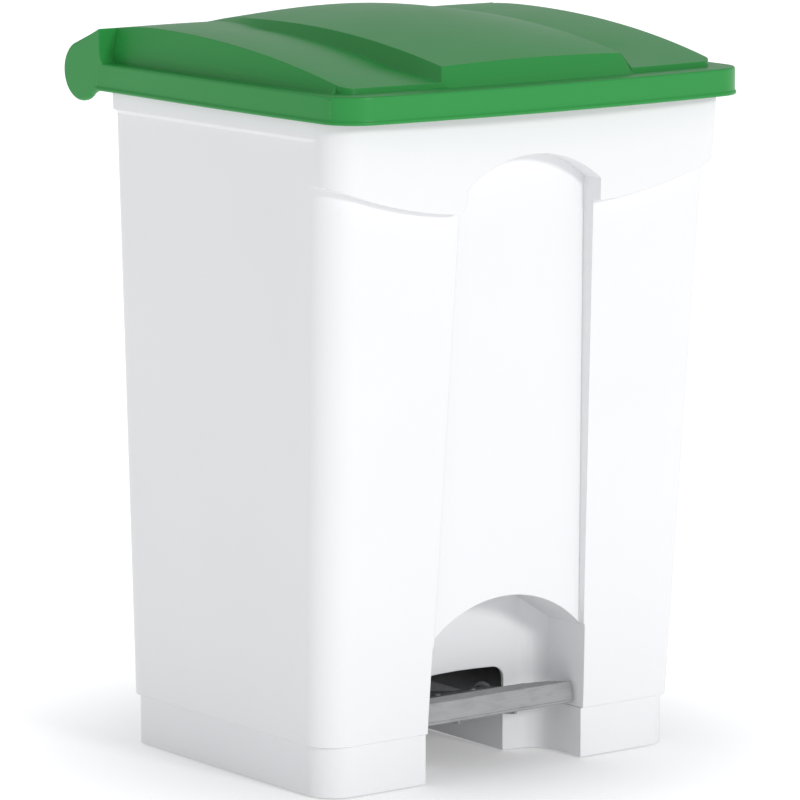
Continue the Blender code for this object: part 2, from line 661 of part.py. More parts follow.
gap_ring = (arc(AXIS_Y, AXIS_Z, ROLL_RADIUS + GAP, 150, 262, 10)
            + arc(AXIS_Y, AXIS_Z, ROLL_RADIUS + 0.0078, 262, 150, 10))
boolean(lid, prism_x("wall_swing_left", gap_ring, -WIDTH / 2 + 0.010, -LUG_GAP - GAP - LUG_THICK - 0.0006))
boolean(lid, prism_x("wall_swing_right", gap_ring, LUG_GAP + GAP + LUG_THICK + 0.0006, WIDTH / 2 - 0.010))
sweep = (arc(AXIS_Y, AXIS_Z, ROLL_RADIUS + 0.010, 177, 177 + 134, 12) + [(AXIS_Y, AXIS_Z)])
for side, x in (("left", -ARM_X), ("right", ARM_X)):
    boolean(lid, prism_x("arm_slot_" + side, sweep, x - ARM_WIDTH / 2 - 0.0012, x + ARM_WIDTH / 2 + 0.0012))
ROLL_END = bowed((WIDTH / 2 - RIM_BEAD - GAP, AXIS_Y, AXIS_Z))[0]
for side, x in (("left", -1), ("right", 1)):
    inner, outer = sorted((x * (LUG_GAP + GAP + LUG_THICK + 0.0006), x * (ROLL_END - 0.0045)))
    boolean(lid, block("roll_underside_" + side, inner, outer, AXIS_Y - 0.030, AXIS_Y + 0.030,
                       LID_LINE - 0.020, LID_LINE - UNDERSIDE_DROP))
for side, x in (("left", -1), ("right", 1)):
    boolean(lid, rod("hinge_boss_" + side, (x * (ROLL_END - WALL / 2), AXIS_Y, AXIS_Z),
                     (x * (ROLL_END - 0.016), AXIS_Y, AXIS_Z), 0.009), "UNION")
HINGE_END = ROLL_END - WALL - 0.002
boolean(lid, rod("hinge_socket", (-HINGE_END, AXIS_Y, AXIS_Z), (HINGE_END, AXIS_Y, AXIS_Z),
                 HINGE_ROD_RADIUS + GAP))
boolean(lid, rod("lug_bore", (-0.02, PIN_Y, PIN_Z), (0.02, PIN_Y, PIN_Z), PIN_RADIUS + GAP))

# ---------------------------------------------------------------- hinge rod, push rod and pins

rod("hinge_rod", (-HINGE_END + 0.001, AXIS_Y, AXIS_Z), (HINGE_END - 0.001, AXIS_Y, AXIS_Z),
    HINGE_ROD_RADIUS, zinc_steel)
for side, x in (("left", -1), ("right", 1)):
    edge = ARM_X + ARM_WIDTH / 2 + GAP
    clip = rod("hinge_clip_" + side, (x * edge, AXIS_Y, AXIS_Z), (x * (edge + 0.0012), AXIS_Y, AXIS_Z),
               0.0078, zinc_steel)
    boolean(clip, rod("clip_bore_" + side, (x * (edge - 0.01), AXIS_Y, AXIS_Z),
                      (x * (edge + 0.01), AXIS_Y, AXIS_Z), HINGE_ROD_RADIUS + GAP))

pin_out = LUG_GAP + 2 * GAP + LUG_THICK
pin = rod("lug_pin", (-pin_out - 0.004, PIN_Y, PIN_Z), (pin_out + 0.001, PIN_Y, PIN_Z), PIN_RADIUS,
          zinc_steel)
boolean(pin, rod("pin_head", (pin_out, PIN_Y, PIN_Z), (pin_out + 0.0016, PIN_Y, PIN_Z), 0.0045),
        "UNION")
pin_clip = rod("lug_pin_clip", (-pin_out - 0.0010, PIN_Y, PIN_Z), (-pin_out, PIN_Y, PIN_Z), 0.005,
               zinc_steel)
boolean(pin_clip, rod("pin_clip_bore", (-pin_out - 0.01, PIN_Y, PIN_Z), (-pin_out + 0.01, PIN_Y, PIN_Z),
                      PIN_RADIUS + GAP))

NOSE_RADIUS = 0.0022
pad_top = (PIVOT_HEIGHT + (LEVER_TOP + PAD_THICK) / math.cos(LEVER_TILT)
           - (PIN_Y - NOSE_RADIUS - PIVOT_Y) * math.tan(LEVER_TILT))
foot_low = pad_top + FOOT_CLEARANCE
ROD_END = foot_low + 0.0035
push_rod = rod("push_rod", (0, PIN_Y, ROD_END), (0, PIN_Y, PIN_Z - 0.003), PUSH_ROD_RADIUS, zinc_steel)
boolean(push_rod, rod("rod_eye", (-LUG_GAP + GAP, PIN_Y, PIN_Z), (LUG_GAP - GAP, PIN_Y, PIN_Z), 0.0055),
        "UNION")
boolean(push_rod, rod("eye_bore", (-0.01, PIN_Y, PIN_Z), (0.01, PIN_Y, PIN_Z), PIN_RADIUS + GAP))

ferrule = rod("push_rod_foot", (0, PIN_Y, foot_low + 0.003), (0, PIN_Y, foot_low + 0.016), 0.005,
              grey_plastic)
boolean(ferrule, rod("foot_nose", (0, PIN_Y, foot_low), (0, PIN_Y, foot_low + 0.0032), NOSE_RADIUS,
                     end_radius=0.005), "UNION")
boolean(ferrule, rod("foot_bore", (0, PIN_Y, ROD_END - GAP), (0, PIN_Y, foot_low + 0.03),
                     PUSH_ROD_RADIUS + GAP))

# ---------------------------------------------------------------- pedal lever, tread and axle

pivot = bpy.data.objects.new("pedal_pivot", None)
pivot.location = (0, PIVOT_Y, PIVOT_HEIGHT)
pivot.rotation_euler = (-LEVER_TILT, 0, 0)
bin_parts.objects.link(pivot)
LEVER_FRONT = PLINTH_FRONT - PIVOT_Y + 0.022
LEVER_BACK = LEVER_REACH + 0.0085
LEVER_LOW = -0.010
LEVER_END_LOW = -0.001
LEVER_STEP = 0.020


def lever_sections(inset, top, low_front, low_back, y_front, y_back):
    def box(y, half, low):
        return [(-half, y, low), (half, y, low), (half, y, top), (-half, y, top)]
    return [box(y_front, LEVER_HALF - inset, low_front), box(LEVER_STEP, LEVER_HALF - inset, low_front),
            box(y_back, LEVER_REAR_HALF - inset, low_back)]


def under_pivot(made):
    made.parent = pivot
    return made


outside = lever_sections(0, LEVER_TOP, LEVER_LOW, LEVER_END_LOW, LEVER_FRONT, LEVER_BACK)
inside = lever_sections(STEEL, LEVER_TOP - STEEL, -0.02, -0.02, LEVER_FRONT - 0.02, LEVER_BACK - STEEL)
lever = under_pivot(loft("pedal_lever", outside, pedal_steel))
hollow = under_pivot(loft("lever_hollow", inside))
boolean(lever, hollow)
boolean(lever, under_pivot(rod("lever_bore", (-0.06, 0, 0), (0.06, 0, 0), AXLE_RADIUS + GAP)))

TREAD_LOW = LEVER_TOP + GAP
TREAD_FRONT = PLINTH_FRONT - PIVOT_Y + 0.0065
TREAD_NECK = NICHE_BACK - PIVOT_Y + 0.012
half_plan = [(TREAD_HALF, TREAD_FRONT), (TREAD_HALF, TREAD_FRONT + 0.020),
             (TREAD_HALF - 0.006, TREAD_FRONT + 0.031), (TREAD_HALF - 0.018, TREAD_FRONT + 0.041),
             (SLOT_HALF - 0.006, TREAD_FRONT + 0.045), (SLOT_HALF - 0.006, TREAD_NECK)]
tread = under_pivot(prism_z("pedal_tread", half_plan + [(-x, y) for x, y in reversed(half_plan)],
                            TREAD_LOW, TREAD_LOW + STEEL, pedal_steel))
boolean(tread, under_pivot(block("tread_flange", -TREAD_HALF, TREAD_HALF, TREAD_FRONT - 0.0001,
                                 TREAD_FRONT + 0.002, TREAD_LOW + 0.0012 - TREAD_FLANGE,
                                 TREAD_LOW + 0.0012)), "UNION")
for number in range(5):
    y = TREAD_FRONT + 0.006 + 0.007 * number
    half = TREAD_HALF - 0.006 - max(0, number - 2) * 0.008
    rib = under_pivot(rod("tread_rib_%d" % number, (-half, y, TREAD_LOW + STEEL - 0.0004),
                          (half, y, TREAD_LOW + STEEL - 0.0004), 0.0013, steps=8))
    boolean(tread, rib, "UNION")
rivets = {"left": -0.018, "right": 0.018}
rivet_y = TREAD_NECK - 0.012
for side, x in rivets.items():
    hole = under_pivot(rod("rivet_hole_" + side, (x, rivet_y, 0), (x, rivet_y, 0.02), 0.0024 + GAP, steps=12))
    boolean(tread, hole)
    boolean(lever, hole)
    rivet = under_pivot(rod("tread_rivet_" + side, (x, rivet_y, TREAD_LOW + STEEL + GAP),
                            (x, rivet_y, TREAD_LOW + STEEL + GAP + 0.0013), 0.0042, zinc_steel, steps=12,
                            end_radius=0.0026))
    boolean(rivet, under_pivot(rod("rivet_shank_" + side, (x, rivet_y, LEVER_TOP - STEEL - 0.001),
                                   (x, rivet_y, TREAD_LOW + STEEL + 0.001), 0.0024, steps=12)), "UNION")

pad = under_pivot(block("lever_pad", -0.011, 0.011, LEVER_REACH - 0.010, LEVER_BACK - 0.0015,
                        LEVER_TOP + GAP, LEVER_TOP + PAD_THICK, grey_plastic))

AXLE_END = SLOT_HALF + WALL + 0.006
rod("pedal_axle", (-AXLE_END, PIVOT_Y, PIVOT_HEIGHT), (AXLE_END, PIVOT_Y, PIVOT_HEIGHT), AXLE_RADIUS,
    zinc_steel)
for side, x in (("left", -1), ("right", 1)):
    bush = rod("axle_bush_" + side, (x * (SLOT_HALF - 0.008), PIVOT_Y, PIVOT_HEIGHT),
               (x * (SLOT_HALF + WALL + GAP), PIVOT_Y, PIVOT_HEIGHT), BUSH_RADIUS, grey_plastic)
    boolean(bush, rod("bush_flange_" + side, (x * (SLOT_HALF - 0.0022), PIVOT_Y, PIVOT_HEIGHT),
                      (x * (SLOT_HALF - GAP), PIVOT_Y, PIVOT_HEIGHT), BUSH_RADIUS + 0.003), "UNION")
    boolean(bush, rod("bush_bore_" + side, (x * (SLOT_HALF - 0.02), PIVOT_Y, PIVOT_HEIGHT),
                      (x * (SLOT_HALF + 0.02), PIVOT_Y, PIVOT_HEIGHT), AXLE_RADIUS + GAP))
    edge = SLOT_HALF + WALL + 2 * GAP
    clip = rod("axle_clip_" + side, (x * edge, PIVOT_Y, PIVOT_HEIGHT),
               (x * (edge + 0.0012), PIVOT_Y, PIVOT_HEIGHT), 0.009, zinc_steel)
    boolean(clip, rod("axle_clip_bore_" + side, (x * (edge - 0.01), PIVOT_Y, PIVOT_HEIGHT),
                      (x * (edge + 0.01), PIVOT_Y, PIVOT_HEIGHT), AXLE_RADIUS + GAP))

# ---------------------------------------------------------------- small rubber stops

BUFFER_X = TOP_HALF - 0.060
for side, x in (("left", -BUFFER_X), ("right", BUFFER_X)):
    y = front_plane(BODY_TOP) - APRON_PROUD + WALL / 2
    rod("lid_buffer_" + side, (x, y, BODY_TOP + GAP), (x, y, LEDGE - WALL - GAP), 0.0045, black_rubber)
STOP_BACK = BRIDGE_FRONT + 0.024
along = (STOP_BACK - PIVOT_Y - LEVER_STEP) / (LEVER_BACK - LEVER_STEP)
lever_under = LEVER_LOW + along * (LEVER_END_LOW - LEVER_LOW)
stop_top = (PIVOT_HEIGHT + lever_under / math.cos(LEVER_TILT)
            - (STOP_BACK - PIVOT_Y) * math.tan(LEVER_TILT) - 2 * GAP)
block("pedal_stop_pad", -0.010, 0.010, STOP_BACK - 0.018, STOP_BACK,
      FLOOR_CLEARANCE + WALL + GAP, stop_top, black_rubber)
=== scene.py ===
"""Looks of a plastic pedal bin for wards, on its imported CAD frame."""
import json
import math

import bmesh
import bpy
from mathutils import Matrix, Vector


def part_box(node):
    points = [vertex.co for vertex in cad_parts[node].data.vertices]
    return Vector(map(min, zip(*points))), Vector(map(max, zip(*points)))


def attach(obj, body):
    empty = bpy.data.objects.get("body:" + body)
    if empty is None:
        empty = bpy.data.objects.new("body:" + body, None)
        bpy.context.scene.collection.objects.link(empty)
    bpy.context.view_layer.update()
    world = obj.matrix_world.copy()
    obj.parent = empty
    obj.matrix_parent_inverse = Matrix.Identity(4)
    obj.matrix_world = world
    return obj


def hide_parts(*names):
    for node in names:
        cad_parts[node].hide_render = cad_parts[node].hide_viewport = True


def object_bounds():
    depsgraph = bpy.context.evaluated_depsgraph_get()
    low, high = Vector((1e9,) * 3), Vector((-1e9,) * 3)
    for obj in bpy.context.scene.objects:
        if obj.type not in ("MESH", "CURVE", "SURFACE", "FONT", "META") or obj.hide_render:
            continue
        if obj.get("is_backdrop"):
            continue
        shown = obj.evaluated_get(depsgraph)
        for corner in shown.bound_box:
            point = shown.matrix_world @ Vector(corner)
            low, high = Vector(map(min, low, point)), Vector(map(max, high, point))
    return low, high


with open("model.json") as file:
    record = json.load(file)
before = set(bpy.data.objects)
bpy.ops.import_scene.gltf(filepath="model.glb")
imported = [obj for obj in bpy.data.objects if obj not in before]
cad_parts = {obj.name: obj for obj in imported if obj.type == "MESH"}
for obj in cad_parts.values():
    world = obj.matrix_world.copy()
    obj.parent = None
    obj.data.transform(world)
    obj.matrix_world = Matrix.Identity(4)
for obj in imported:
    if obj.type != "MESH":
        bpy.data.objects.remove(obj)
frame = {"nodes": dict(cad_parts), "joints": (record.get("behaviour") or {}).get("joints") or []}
cad_low, cad_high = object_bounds()

# ---------------------------------------------------------------- studio
# A pale seamless floor that glows, less near the bin as a painted shadow round its foot, an even
# pale surround that lights the bin but is seen as plain white, and one low soft key from the right
# of the camera, which stands a little to the left of the front.

camera = bpy.data.objects.new("camera", bpy.data.cameras.new("camera"))
camera.data.sensor_width = 36
camera.data.lens = 240.6
camera.location = (-2.592, -3.432, 0.993)
camera.rotation_euler = (math.radians(80.67), 0, math.radians(-36.98))
bpy.context.scene.collection.objects.link(camera)
bpy.context.scene.camera = camera
bpy.context.scene.view_settings.view_transform = "Standard"

surround = bpy.data.worlds.new("surround")
surround.use_nodes = True
wires = surround.node_tree
soft = wires.nodes["Background"]
soft.inputs["Color"].default_value = (0.97, 0.98, 1.0, 1)
soft.inputs["Strength"].default_value = 0.60
backdrop = wires.nodes.new("ShaderNodeBackground")
backdrop.inputs["Color"].default_value = (1, 1, 1, 1)
seen = wires.nodes.new("ShaderNodeLightPath")
either = wires.nodes.new("ShaderNodeMixShader")
wires.links.new(seen.outputs["Is Camera Ray"], either.inputs["Fac"])
wires.links.new(soft.outputs[0], either.inputs[1])
wires.links.new(backdrop.outputs[0], either.inputs[2])
wires.links.new(either.outputs[0], wires.nodes["World Output"].inputs["Surface"])
bpy.context.scene.world = surround

lamp = bpy.data.lights.new("key_light", "SUN")
lamp.energy = 1.02
lamp.angle = math.radians(9)
key_height = 18
key_light = bpy.data.objects.new("key_light", lamp)
key_light.rotation_euler = (math.radians(90 - key_height), 0, math.radians(5))
bpy.context.scene.collection.objects.link(key_light)


class Field:
    """A shader socket that can be used in Python arithmetic."""

    def __init__(self, nodes, socket):
        self.nodes = nodes
        self.socket = socket

    def node(self, kind, settings=None, output=None, **values):
        """A node of any kind: its settings are set first, and then its sockets."""
        made = self.nodes.new("ShaderNode" + kind)
        for name, value in (settings or {}).items():
            if name == "stops":
                while len(made.color_ramp.elements) < len(value):
                    made.color_ramp.elements.new(0.5)
                for stop, (place, colour) in zip(made.color_ramp.elements, value):
                    stop.position = place
                    stop.color = colour
            else:
                setattr(made, name, value)
        for name, value in values.items():
            numbered = name[0] == "i" and name[1:].isdigit()
            target = made.inputs[int(name[1:]) if numbered else name.replace("_", " ")]
            if isinstance(value, Field):
                self.nodes.id_data.links.new(value.socket, target)
            else:
                target.default_value = value
        if output is None:
            return Field(self.nodes, next(socket for socket in made.outputs if socket.enabled))
        return Field(self.nodes, made.outputs[output])

    def sum(self, kind, first, second):
        return self.node("Math", {"operation": kind}, i0=first, i1=second)

    def __add__(self, other):
        return self.sum("ADD", self, other)

    def __sub__(self, other):
        return self.sum("SUBTRACT", self, other)

    def __rsub__(self, other):
        return self.sum("SUBTRACT", other, self)

    def __mul__(self, other):
        return self.sum("MULTIPLY", self, other)

    __radd__ = __add__
    __rmul__ = __mul__


def start_finish(name, roughness, metallic=0.0, specular=0.5):
    """A material, its shader, and the object coordinates as a field."""
    made = bpy.data.materials.new(name)
    made.use_nodes = True
    nodes = made.node_tree.nodes
    shader = nodes["Principled BSDF"]
    shader.inputs["Roughness"].default_value = roughness
    shader.inputs["Metallic"].default_value = metallic
    shader.inputs["Specular IOR Level"].default_value = specular
    place = Field(nodes, nodes.new("ShaderNodeTexCoord").outputs["Object"])
    return made, shader, place


def feed(shader, **fields):
    """Link fields to the shader's sockets."""
    for name, field in fields.items():
        shader.id_data.links.new(field.socket, shader.inputs[name.replace("_", " ")])


def piece(name, bm):
    """Put a finished bmesh into the scene as an object of its own."""
    made = bpy.data.objects.new(name, bpy.data.meshes.new(name))
    bm.to_mesh(made.data)
    bm.free()
    bpy.context.scene.collection.objects.link(made)
    return made


bm = bmesh.new()
bmesh.ops.create_grid(bm, x_segments=1, y_segments=1, size=40)
floor = piece("floor", bm)
pale, paint, place = start_finish("glowing_floor_painted_shade", 0.9, specular=0.0)
paint.inputs["Base Color"].default_value = (0.80, 0.80, 0.80, 1)
# The floor glows, which is painted light. Its glow is weaker near the bin, a painted shadow round
# the bin's foot.
paint.inputs["Emission Strength"].default_value = 1.0
reach = place.node("VectorMath", {"operation": "LENGTH"}, i0=place)
feed(paint, Emission_Color=place.node("MapRange", {"interpolation_type": "SMOOTHSTEP"}, Value=reach,
                                      From_Min=0.12, From_Max=0.45, To_Min=0.22, To_Max=0.62))
floor.data.materials.append(pale)
floor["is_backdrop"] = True

# ---------------------------------------------------------------- bin body
# The tapered bucket is one injection moulding in white polypropylene: a proud apron round the
# upper front, a tall arched recess, the pedal well, and a groove at the back for the push rod.
# Its faces have the fine spark-eroded grain of the mould, and its edges are all rounded.


def noise(place, scale, detail=2.0, rough=0.5):
    return place.node("TexNoise", Vector=place, Scale=scale, Detail=detail, Roughness=rough)


def tint(mask, low, high):
    """A colour that runs from low to high with a mask from 0 to 1."""
    return mask.node("Mix", {"data_type": "RGBA"}, Factor=mask, i6=(*low, 1), i7=(*high, 1))


def moulded_plastic(name, colour, grain, roughness, scuff_height, arris=0.0011, specular=0.45):
    """Satin polypropylene: mould grain, flow clouds, light scuffs low down, and edges lighter for
    rubbed wear and a painted highlight.
    """
    made, shader, place = start_finish(name, roughness, specular=specular)
    clouds = noise(place, 7.0, 3.0)
    fine = noise(place, 900.0, 1.0)
    pits = noise(place, 2600.0, 0.0)
    height = place.node("SeparateXYZ", output="Z", Vector=place)
    low = place.node("MapRange", {"interpolation_type": "SMOOTHSTEP"}, Value=height,
                     From_Min=0.0, From_Max=scuff_height, To_Min=1.0, To_Max=0.0)
    streaks = place.node("Mapping", Vector=place, Scale=(40.0, 40.0, 700.0))
    marks = place.node("ValToRGB", {"stops": ((0.60, (0, 0, 0, 1)), (0.74, (1, 1, 1, 1)))},
                       Fac=noise(streaks, 1.0, 2.0))
    dull = place.node("RGBToBW", Color=marks) * low
    shade = clouds * 0.6 + dull * 0.35
    dark = tuple(c * 0.955 for c in colour)
    bright = tuple(min(1.0, c * 1.02) for c in colour)
    edges = place.node("Bevel", {"samples": 6}, Radius=arris)
    facing = place.node("NewGeometry", output="Normal")
    # Rounded edges are painted lighter: partly rubbed wear, partly a painted highlight along each
    # arris.
    turned = 1 - place.node("VectorMath", {"operation": "DOT_PRODUCT"}, i0=edges, i1=facing)
    rubbed_and_highlit = place.node("MapRange", Value=turned, From_Min=0.015, From_Max=0.20,
                        To_Min=0.0, To_Max=0.55)
    # The edge colour: lighter for rubbed wear and for a painted highlight.
    worn = tuple(min(0.92, c * 1.35 + 0.035) for c in colour)
    skin = place.node("Mix", {"data_type": "RGBA"}, Factor=rubbed_and_highlit, i6=tint(shade, bright, dark),
                      i7=(*worn, 1))
    feed(shader, Base_Color=skin,
         Roughness=clouds * 0.10 + dull * 0.12 + fine * 0.05 - rubbed_and_highlit * 0.06 + (roughness - 0.075))
    feed(shader, Normal=place.node("Bump", Height=fine * 0.6 + pits * 0.4, Strength=grain,
                                   Distance=0.00012, Normal=edges))
    return made


white_plastic = moulded_plastic("white_polypropylene", (0.820, 0.822, 0.834), 0.30, 0.42, 0.12)

hinge = Vector(next(j for j in frame["joints"] if j["name"] == "lid_hinge")["pos_m"])
body_low = Vector(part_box("body_shell")[0])
body_high = Vector(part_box("body_shell")[1])
cover_low = Vector(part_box("rear_channel_cover")[0])
gap = 0.0003
wall = 0.003
lid_line = hinge.z - 0.0136
body_bottom = body_low.z
body_top = lid_line + 0.012
body_back = cover_low.y - gap
top_half = body_high.x - 0.0037
low_half = top_half - 0.0142
low_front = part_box("base_plinth")[0][1] - 0.0027
top_front = low_front - 0.029
apron_proud = 0.009
arch_radius = 0.104
niche_back = low_front + 0.066
niche_peak = 0.145
slot_half = 0.044
groove_half = 0.020
groove_front = body_back - 0.021
band_depth = 0.014
band_proud = 0.0034
floor_top = 0.080
floor_under = 0.077
arm_at = 0.120
rod_bore = 0.0043


def arc(cx, cy, radius, start, end, steps):
    """Points on an arc, with its angles in degrees."""
    turn = [math.radians(start + (end - start) * i / steps) for i in range(steps + 1)]
    return [(cx + radius * math.cos(a), cy + radius * math.sin(a)) for a in turn]


def rounded(half, front, back, r_front, r_back, steps=12):
    """A rounded rectangle seen from above."""
    right = arc(half - r_front, front + r_front, r_front, -90, 0, steps)
    right += arc(half - r_back, back - r_back, r_back, 0, 90, steps)
    return right + [(-x, y) for x, y in reversed(right)]


def level(outline, z):
    return [(x, y, z) for x, y in outline]


def loft(name, sections):
    """Bridge closed outlines with the same number of points, and cap both ends."""
    bm = bmesh.new()
    rings = []
    for outline in sections:
        ring = [bm.verts.new(point) for point in outline]
        rings.append([bm.edges.new((ring[i - 1], ring[i])) for i in range(len(ring))])
    for first, second in zip(rings, rings[1:]):
        bmesh.ops.bridge_loops(bm, edges=first + second)
    for ring in (rings[0], rings[-1]):
        bmesh.ops.contextual_create(bm, geom=ring)
    bmesh.ops.recalc_face_normals(bm, faces=bm.faces)
    return piece(name, bm)


def prism_y(name, outline, y0, y1):
    return loft(name, [[(x, y, z) for x, z in outline] for y in (y0, y1)])


def prism_x(name, outline, x0, x1):
    return loft(name, [[(x, y, z) for y, z in outline] for x in (x0, x1)])


def prism_z(name, outline, z0, z1):
    return loft(name, [level(outline, z) for z in (z0, z1)])


def block(name, low, high):
    bm = bmesh.new()
    bmesh.ops.create_cube(bm, size=1.0)
    low, high = Vector(low), Vector(high)
    bmesh.ops.scale(bm, vec=high - low, verts=bm.verts)
    bmesh.ops.translate(bm, vec=(low + high) / 2, verts=bm.verts)
    return piece(name, bm)


def rod(name, start, end, radius, steps=32, end_radius=None):
    """A cylinder, or a cone, between two points."""
    start, end = Vector(start), Vector(end)
    run = end - start
    bm = bmesh.new()
    bmesh.ops.create_cone(bm, cap_ends=True, segments=steps, radius1=radius,
                          radius2=radius if end_radius is None else end_radius, depth=run.length)
    turn = Vector((0, 0, 1)).rotation_difference(run).to_matrix().to_4x4()
    bmesh.ops.transform(bm, matrix=Matrix.Translation((start + end) / 2) @ turn, verts=bm.verts)
    return piece(name, bm)


def boolean(target, cutter, operation="DIFFERENCE"):
    """Join or cut with another solid, which is then used up."""
    step = target.modifiers.new("cut", "BOOLEAN")
    step.object = cutter
    step.operation = operation
    step.solver = "EXACT"
    settle(target)
    bpy.data.objects.remove(cutter, do_unlink=True)


def settle(made):
    """Turn a piece's modifiers into its mesh, and merge what the cuts left double."""
    bpy.context.view_layer.update()
    graph = bpy.context.evaluated_depsgraph_get()
    shaped = bpy.data.meshes.new_from_object(made.evaluated_get(graph))
    made.modifiers.clear()
    bm = bmesh.new()
    bm.from_mesh(shaped)
    bmesh.ops.remove_doubles(bm, verts=bm.verts, dist=0.00002)
    bm.to_mesh(made.data)
    bm.free()
    bpy.data.meshes.remove(shaped)


def shade(made, angle=28):
    """Smooth shading that breaks only at a moulding's real arrises."""
    bm = bmesh.new()
    bm.from_mesh(made.data)
    for edge in bm.edges:
        edge.smooth = len(edge.link_faces) == 2 and edge.calc_face_angle() < math.radians(angle)
    for face in bm.faces:
        face.smooth = True
    bm.to_mesh(made.data)
    bm.free()
    normals = made.modifiers.new("even_shading", "WEIGHTED_NORMAL")
    normals.keep_sharp = True
    normals.weight = 80


def bucket(name, inset, z0, z1):
    """The tapered bucket between two heights, with its rim band."""
    band = lid_line - band_depth

    def section(z, out=0.0):
        share = (z - body_bottom) / (lid_line - body_bottom)
        half = low_half + (top_half - low_half) * share - inset + out
        front = low_front + (top_front - low_front) * share + inset - out
        return level(rounded(half, front, body_back - inset + out, 0.027 - inset + out,
                             0.018 - inset + out), z)

    if z1 > band:
        return loft(name, [section(z0), section(band - 0.003), section(band, band_proud),
                           section(z1, band_proud)])
    return loft(name, [section(z0), section(z1)])


def front_plane(z):
    return low_front + (top_front - low_front) * (z - body_bottom) / (lid_line - body_bottom)


def side_plane(z):
    return low_half + (top_half - low_half) * (z - body_bottom) / (lid_line - body_bottom)


def apron(name, inset):
    """The skirt that stands proud round the upper front, and fades into the sides."""
    low = lid_line - 0.1085

    def section(z):
        half = side_plane(z) + 0.0015 - inset
        front = front_plane(z) - apron_proud + inset
        radius = 0.024 - inset
        right = arc(half - radius, front + radius, radius, -90, 0, 16)
        right += [(half - 0.0003, front + radius + 0.006), (half - 0.0010, front + radius + 0.014),
                  (half - 0.0019, front + radius + 0.022), (half - 0.012, front + radius + 0.023)]
        return level(right + [(-x, y) for x, y in reversed(right)], z)

    skirt = loft(name, [section(low), section(body_top + (0.01 if inset else 0))])
    corner = lid_line - 0.0505 + inset
    centre = lid_line - 0.0785 + inset

    def drop(bend):
        """The lower edge on one side, from the outside to the rounded tip beside the recess."""
        tip = 0.0664 + bend
        line = []
        for i in range(25):
            x = top_half + 0.020 - (top_half + 0.020 - tip) * i / 24
            share = max(0.0, (x - tip) / (top_half - tip))
            line.append((x, centre + (corner - centre) * (0.28 * share + 0.72 * share ** 1.9)))
        return line + arc(tip, centre + bend, bend, -97, -180, 8) + [(0.060, centre + 0.020)]

    lower = [(-0.224, low - 0.01), (0.224, low - 0.01)] + drop(0.002)
    lower += [(-x, z) for x, z in reversed(drop(0.010))]
    boolean(skirt, prism_y(name + "_edge", lower, top_front - 0.06, top_front + 0.12))
    return skirt


def arch(peak, grow, foot):
    """A round-headed outline whose sides widen downwards."""
    radius = arch_radius + grow
    head = peak + grow

    def half_at(z):
        return 0.079 - 0.026 * z + grow

    reach = math.degrees(math.asin(half_at(head - 0.024) / radius))
    return ([(half_at(foot), foot)] + arc(0, head - radius, radius, 90 - reach, 90 + reach, 32)
            + [(-half_at(foot), foot)])


def recess(name, grow):
    peak = lid_line - 0.036
    deep_top = front_plane(peak - 0.03) + 0.012 + grow
    deep_low = low_front + 0.005 + grow
    slope = (deep_top - deep_low) / (peak - 0.03 - body_bottom)
    outline = arch(peak, grow, -0.02)
    return loft(name, [[(x, top_front - 0.06, z) for x, z in outline],
                       [(x, deep_low + slope * (z - body_bottom), z) for x, z in outline]])


def well_plan(grow):
    """The pedal well from above: straight cheeks, round corners and a gently hollow back."""
    half = 0.079 + grow
    back = niche_back + grow
    radius = 0.026 + grow
    right = [(half, top_front - 0.06)]
    right += arc(half - radius, back - 0.006 - radius, radius, 0, 74, 12)
    right += [(0.045, back - 0.0062), (0.034, back - 0.0042), (0.018, back - 0.0012)]
    return right + [(0, back)] + [(-x, y) for x, y in reversed(right)]


def well(name, grow):
    made = prism_z(name, well_plan(grow), -0.02, niche_peak + 0.03)
    head = [(x * 1.02, z) for x, z in arch(niche_peak, grow, -0.03)]
    boolean(made, prism_y(name + "_arch", head, top_front - 0.08, niche_back + 0.03), "INTERSECT")
    return made


def corners(x, front, back):
    return [(-x, front), (x, front), (-x, back), (x, back)]


base_screws = corners(low_half - 0.062, low_front + 0.066, body_back - 0.056)
cover_screws = [(x * (groove_half + 0.0065), z) for z in (0.110, lid_line - 0.060) for x in (-1, 1)]

body = bucket("bin_body", 0, body_bottom, body_top)
boolean(body, apron("apron", 0), "UNION")
cavity = bucket("cavity", wall, floor_top, body_top + 0.01)
boolean(cavity, apron("apron_inside", wall), "UNION")
boolean(cavity, recess("recess_wall", wall))
boolean(cavity, well("well_wall", wall))
boolean(cavity, block("groove_wall", (-groove_half - wall, groove_front - wall, 0),
                      (groove_half + wall, body_back + 0.02, body_top + 0.03)))
for x, z in cover_screws:
    boolean(cavity, rod("cover_boss", (x, body_back - 0.014, z), (x, body_back + 0.01, z), 0.005))
under = bucket("under", wall, body_bottom - 0.01, floor_under)
boolean(under, well("well_skin", wall))
for x, y in base_screws:
    boolean(under, rod("base_boss", (x, y, body_bottom - 0.02), (x, y, floor_top), 0.006))
boolean(body, recess("recess", 0))
boolean(body, well("well", 0))
boolean(body, cavity)
boolean(body, under)
boolean(body, block("groove", (-groove_half, groove_front, 0.02),
                    (groove_half, body_back + 0.02, body_top + 0.02)))
slot = [(slot_half, 0.02)] + arc(slot_half - 0.010, 0.062, 0.010, 0, 90, 8)
slot += [(-x, z) for x, z in reversed(slot)]
boolean(body, prism_y("lever_slot", slot, niche_back - 0.022, niche_back + 0.012))
for x in (-arm_at, arm_at):
    arm = [(body_back - 0.0015, hinge.z - 0.030), (body_back - 0.0015, hinge.z - 0.0075)]
    arm += arc(hinge.y, hinge.z, 0.010, 118, -62, 20)
    boolean(body, prism_x("hinge_arm", arm, x - 0.007, x + 0.007), "UNION")
boolean(body, rod("hinge_bore", (-0.14, hinge.y, hinge.z), (0.14, hinge.y, hinge.z), rod_bore))


